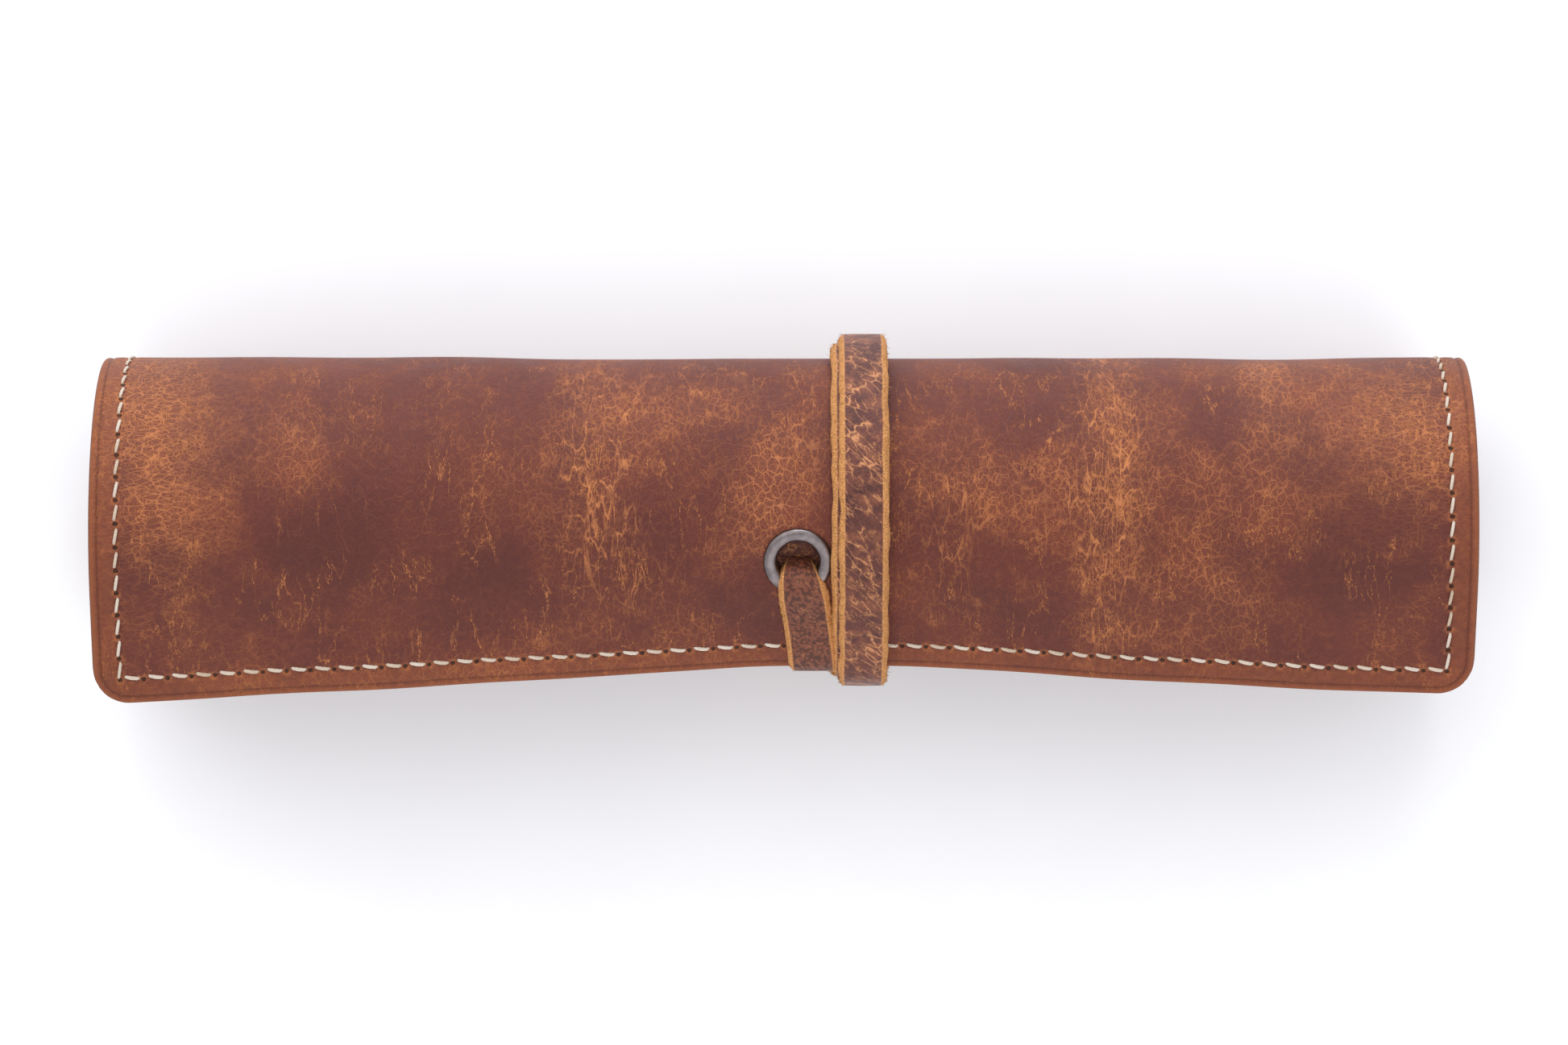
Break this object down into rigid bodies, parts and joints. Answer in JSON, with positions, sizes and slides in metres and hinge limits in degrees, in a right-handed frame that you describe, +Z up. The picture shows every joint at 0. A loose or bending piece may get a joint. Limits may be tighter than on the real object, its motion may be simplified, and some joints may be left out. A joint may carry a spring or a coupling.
{
  "type": "brush roll case",
  "caption": "Rolled leather case for artists' brushes, with an eyelet in its flap and a strap wound round the waist; it unrolls to a flat sheet with pockets.",
  "frame": {"origin": "middle of the bounding box, on the surface that the closed roll lies on", "axes": "+X along the roll, +Z up, the flap's edge on the -Y side"},
  "size_m": [0.24, 0.0651, 0.0626],
  "materials": {
    "outer_leather": "waxed pull-up leather, satin, dark red-brown with tan creases and scuffs",
    "lining_leather": "thin matt tan lining leather with a burnished edge",
    "pocket_leather": "thin satin brown leather, stitched into brush pockets",
    "strap_leather": "waxed strap leather with raw fibrous tan edges",
    "eyelet_metal": "dark gunmetal plating, smooth, slightly worn"
  },
  "bodies": {
    "section_01": {"outer_panel_01": "outer_leather", "lining_01": "lining_leather", "strap_02": "strap_leather"},
    "section_02": {"outer_panel_02": "outer_leather", "lining_02": "lining_leather", "eyelet": "eyelet_metal", "eyelet_washer": "eyelet_metal", "strap_anchor": "strap_leather", "strap_01": "strap_leather"},
    "section_03": {"outer_panel_03": "outer_leather", "lining_03": "lining_leather"},
    "section_04": {"outer_panel_04": "outer_leather", "lining_04": "lining_leather"},
    "section_05": {"outer_panel_05": "outer_leather", "lining_05": "lining_leather"},
    "section_06": {"outer_panel_06": "outer_leather", "lining_06": "lining_leather", "pocket_06": "pocket_leather"},
    "section_07": {"outer_panel_07": "outer_leather", "lining_07": "lining_leather", "pocket_07": "pocket_leather"},
    "section_08": {"outer_panel_08": "outer_leather", "lining_08": "lining_leather", "pocket_08": "pocket_leather"},
    "section_09": {"outer_panel_09": "outer_leather", "lining_09": "lining_leather", "pocket_09": "pocket_leather"},
    "section_10": {"outer_panel_10": "outer_leather", "lining_10": "lining_leather", "pocket_10": "pocket_leather"},
    "section_11": {"outer_panel_11": "outer_leather", "lining_11": "lining_leather", "pocket_11": "pocket_leather"},
    "strap_length_03": {"strap_03": "strap_leather"},
    "strap_length_04": {"strap_04": "strap_leather"},
    "strap_length_05": {"strap_05": "strap_leather"},
    "strap_length_06": {"strap_06": "strap_leather"},
    "strap_length_07": {"strap_07": "strap_leather"},
    "strap_length_08": {"strap_08": "strap_leather"},
    "strap_length_09": {"strap_09": "strap_leather"},
    "strap_length_10": {"strap_10": "strap_leather"},
    "strap_length_11": {"strap_11": "strap_leather"},
    "strap_length_12": {"strap_12": "strap_leather"}
  },
  "joints": [
    {"name": "unroll", "type": "hinge", "parent": "section_05", "child": "section_04", "pos_m": [0, 0.02089, 0.0079], "axis": [-1, 0, 0], "range_deg": [0, 66.5]},
    {"name": "sheet_bend_03", "type": "hinge", "parent": "section_04", "child": "section_03", "pos_m": [0, 0.02848, 0.03576], "axis": [-1, 0, 0], "range_deg": [0, 60.42]},
    {"name": "sheet_bend_02", "type": "hinge", "parent": "section_03", "child": "section_02", "pos_m": [0, 0.01151, 0.05852], "axis": [-1, 0, 0], "range_deg": [0, 60.42]},
    {"name": "sheet_bend_01", "type": "hinge", "parent": "section_02", "child": "section_01", "pos_m": [0, -0.02003, 0.05665], "axis": [-1, 0, 0], "range_deg": [0, 50.35]},
    {"name": "sheet_bend_06", "type": "hinge", "parent": "section_05", "child": "section_06", "pos_m": [0, -0.01903, 0.00654], "axis": [1, 0, 0], "range_deg": [0, 70.49]},
    {"name": "sheet_bend_07", "type": "hinge", "parent": "section_06", "child": "section_07", "pos_m": [0, -0.0271, 0.03604], "axis": [1, 0, 0], "range_deg": [0, 60.42]},
    {"name": "sheet_bend_08", "type": "hinge", "parent": "section_07", "child": "section_08", "pos_m": [0, -0.00752, 0.05578], "axis": [1, 0, 0], "range_deg": [0, 60.42]},
    {"name": "sheet_bend_09", "type": "hinge", "parent": "section_08", "child": "section_09", "pos_m": [0, 0.01655, 0.04894], "axis": [1, 0, 0], "range_deg": [0, 60.42]},
    {"name": "sheet_bend_10", "type": "hinge", "parent": "section_09", "child": "section_10", "pos_m": [0, 0.02347, 0.02713], "axis": [1, 0, 0], "range_deg": [0, 60.42]},
    {"name": "sheet_bend_11", "type": "hinge", "parent": "section_10", "child": "section_11", "pos_m": [0, 0.00947, 0.00911], "axis": [1, 0, 0], "range_deg": [0, 65.45]},
    {"name": "strap_bend_03", "type": "hinge", "parent": "section_01", "child": "strap_length_03", "pos_m": [0, -0.03186, 0.03688], "axis": [-1, 0, 0], "range_deg": [0, 62.54]},
    {"name": "strap_bend_04", "type": "hinge", "parent": "strap_length_03", "child": "strap_length_04", "pos_m": [0, -0.01007, 0.00235], "axis": [-1, 0, 0], "range_deg": [0, 82.68]},
    {"name": "strap_bend_05", "type": "hinge", "parent": "strap_length_04", "child": "strap_length_05", "pos_m": [0, 0.02846, 0.01281], "axis": [-1, 0, 0], "range_deg": [0, 82.68]},
    {"name": "strap_bend_06", "type": "hinge", "parent": "strap_length_05", "child": "strap_length_06", "pos_m": [0, 0.0253, 0.05399], "axis": [-1, 0, 0], "range_deg": [0, 82.68]},
    {"name": "strap_bend_07", "type": "hinge", "parent": "strap_length_06", "child": "strap_length_07", "pos_m": [0, -0.01629, 0.05948], "axis": [-1, 0, 0], "range_deg": [0, 82.68]},
    {"name": "strap_bend_08", "type": "hinge", "parent": "strap_length_07", "child": "strap_length_08", "pos_m": [0, -0.03051, 0.01935], "axis": [-1, 0, 0], "range_deg": [0, 82.68]},
    {"name": "strap_bend_09", "type": "hinge", "parent": "strap_length_08", "child": "strap_length_09", "pos_m": [0, 0.00631, -0.00322], "axis": [-1, 0, 0], "range_deg": [0, 82.68]},
    {"name": "strap_bend_10", "type": "hinge", "parent": "strap_length_09", "child": "strap_length_10", "pos_m": [0, 0.03646, 0.02856], "axis": [-1, 0, 0], "range_deg": [0, 82.68]},
    {"name": "strap_bend_11", "type": "hinge", "parent": "strap_length_10", "child": "strap_length_11", "pos_m": [0, 0.01129, 0.06515], "axis": [-1, 0, 0], "range_deg": [0, 82.68]},
    {"name": "strap_bend_12", "type": "hinge", "parent": "strap_length_11", "child": "strap_length_12", "pos_m": [0, -0.0303, 0.04791], "axis": [-1, 0, 0], "range_deg": [0, 82.68]}
  ],
  "couplings": [
    {"joint": "sheet_bend_03", "follows": "unroll", "ratio": 0.85714},
    {"joint": "sheet_bend_02", "follows": "unroll", "ratio": 0.85714},
    {"joint": "sheet_bend_01", "follows": "unroll", "ratio": 0.71429},
    {"joint": "sheet_bend_06", "follows": "unroll", "ratio": 1},
    {"joint": "sheet_bend_07", "follows": "unroll", "ratio": 0.85714},
    {"joint": "sheet_bend_08", "follows": "unroll", "ratio": 0.85714},
    {"joint": "sheet_bend_09", "follows": "unroll", "ratio": 0.85714},
    {"joint": "sheet_bend_10", "follows": "unroll", "ratio": 0.85714},
    {"joint": "sheet_bend_11", "follows": "unroll", "ratio": 0.92857},
    {"joint": "strap_bend_03", "follows": "unroll", "ratio": 0.88722},
    {"joint": "strap_bend_04", "follows": "unroll", "ratio": 1.1729},
    {"joint": "strap_bend_05", "follows": "unroll", "ratio": 1.1729},
    {"joint": "strap_bend_06", "follows": "unroll", "ratio": 1.1729},
    {"joint": "strap_bend_07", "follows": "unroll", "ratio": 1.1729},
    {"joint": "strap_bend_08", "follows": "unroll", "ratio": 1.1729},
    {"joint": "strap_bend_09", "follows": "unroll", "ratio": 1.1729},
    {"joint": "strap_bend_10", "follows": "unroll", "ratio": 1.1729},
    {"joint": "strap_bend_11", "follows": "unroll", "ratio": 1.1729},
    {"joint": "strap_bend_12", "follows": "unroll", "ratio": 1.1729}
  ]
}
